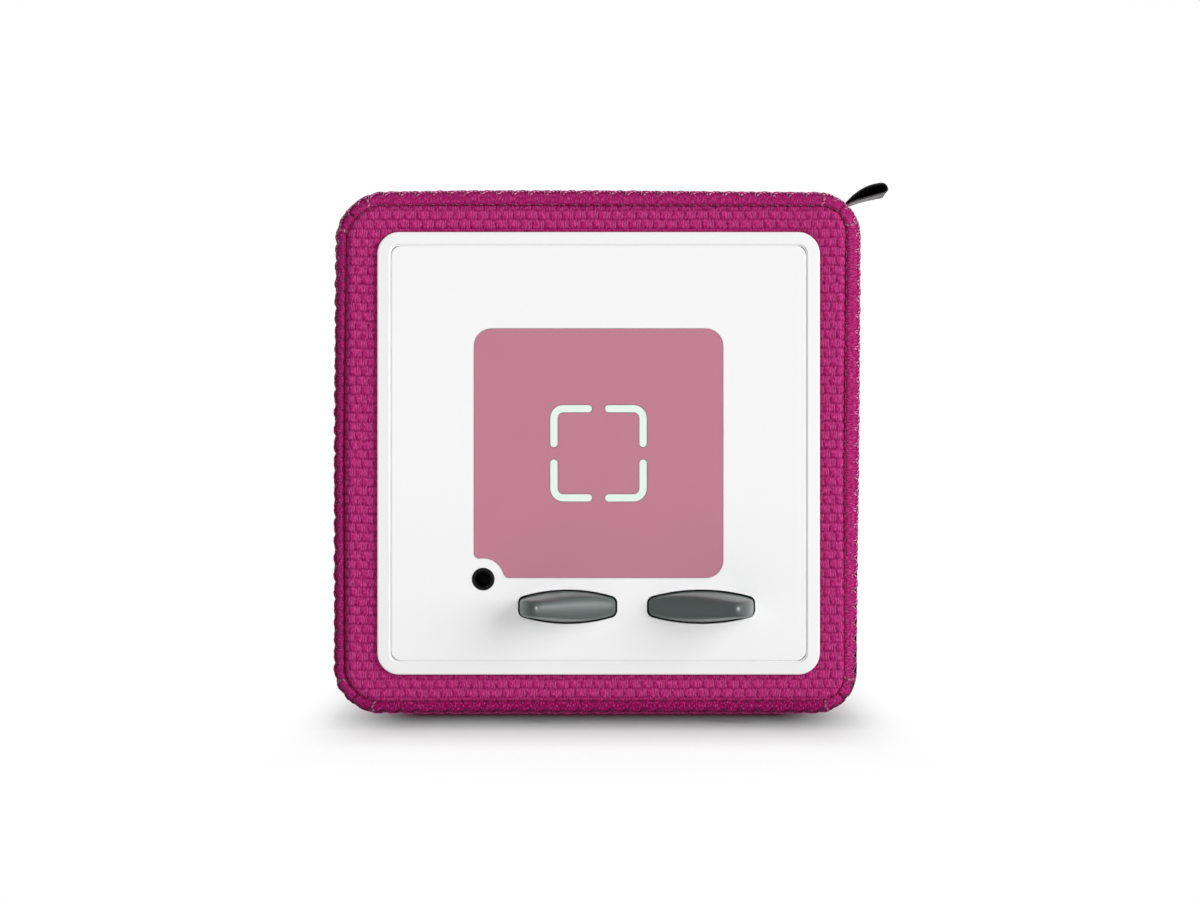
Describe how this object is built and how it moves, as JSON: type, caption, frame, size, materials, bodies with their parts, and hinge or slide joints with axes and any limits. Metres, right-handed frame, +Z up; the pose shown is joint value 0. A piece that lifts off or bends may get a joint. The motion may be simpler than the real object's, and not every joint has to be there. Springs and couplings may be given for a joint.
{
  "type": "audio story player",
  "caption": "Padded fabric cube that plays stories: white control panel with a square figure pad, headphone jack and ear-shaped keys, ribbon tag at one corner.",
  "frame": {"origin": "middle of the lower fabric side, on the surface the player stands on", "axes": "+X to the right seen from the front, +Y to the back (the control panel faces -Y), +Z up"},
  "size_m": [0.127, 0.138, 0.122],
  "materials": {
    "cover_fabric": "matte",
    "edge_fabric": "matte",
    "padding_foam": "matte",
    "tag_ribbon": "satin",
    "white_plastic": "satin",
    "pad_plastic": "satin",
    "guide_plastic": "satin",
    "jack_black": "gloss",
    "ear_plastic": "gloss",
    "inner_plastic": "matte",
    "back_plastic": "matte",
    "foot_rubber": "matte",
    "dome_silicone": "matte",
    "board_laminate": "satin",
    "coil_copper": "satin",
    "magnet_plate": "polished",
    "ferrite": "matte",
    "lamp_resin": "gloss",
    "screw_steel": "satin",
    "shield_steel": "satin",
    "socket_steel": "satin",
    "basket_steel": "satin",
    "cell_wrap": "satin",
    "cone_paper": "matte",
    "surround_rubber": "matte",
    "gasket_foam": "matte"
  },
  "bodies": {
    "housing": {"cover_sides": "cover_fabric", "cover_front": "cover_fabric", "cover_back": "cover_fabric", "edge_roll_front": "edge_fabric", "edge_roll_back": "edge_fabric", "foam_jacket": "padding_foam", "tag_loop": "tag_ribbon", "front_bezel": "white_plastic", "face_plate": "white_plastic", "landing_pad": "pad_plastic", "light_guide": "guide_plastic", "jack_socket": "jack_black", "ear_guide_plate": "inner_plastic", "guide_screws": "screw_steel", "ear_dome_small": "dome_silicone", "ear_dome_large": "dome_silicone", "panel_carrier": "inner_plastic", "carrier_screws": "screw_steel", "pad_magnets": "magnet_plate", "control_board": "board_laminate", "board_screws": "screw_steel", "board_lamps": "lamp_resin", "reader_coil": "coil_copper", "core_box": "inner_plastic", "back_plate": "back_plastic", "back_screws": "screw_steel", "back_feet": "foot_rubber", "main_board": "board_laminate", "main_board_screws": "screw_steel", "shield_can": "shield_steel", "usb_port": "socket_steel", "battery_cells": "cell_wrap", "battery_tray": "inner_plastic", "tray_screws": "screw_steel", "speaker_gasket": "gasket_foam", "speaker_frame": "basket_steel", "speaker_magnet": "ferrite", "speaker_cone": "cone_paper", "speaker_surround": "surround_rubber", "speaker_screws": "screw_steel"},
    "ear_small": {"ear_small": "ear_plastic"},
    "ear_large": {"ear_large": "ear_plastic"}
  },
  "joints": [
    {"name": "ear_small_press", "type": "slide", "parent": "housing", "child": "ear_small", "axis": [0, 1, 0], "range_m": [0, 0.0012], "stiffness_N_per_m": 600, "springref_m": -0.0008, "deforming": ["ear_dome_small"]},
    {"name": "ear_large_press", "type": "slide", "parent": "housing", "child": "ear_large", "axis": [0, 1, 0], "range_m": [0, 0.0012], "stiffness_N_per_m": 600, "springref_m": -0.0008, "deforming": ["ear_dome_large"]}
  ]
}
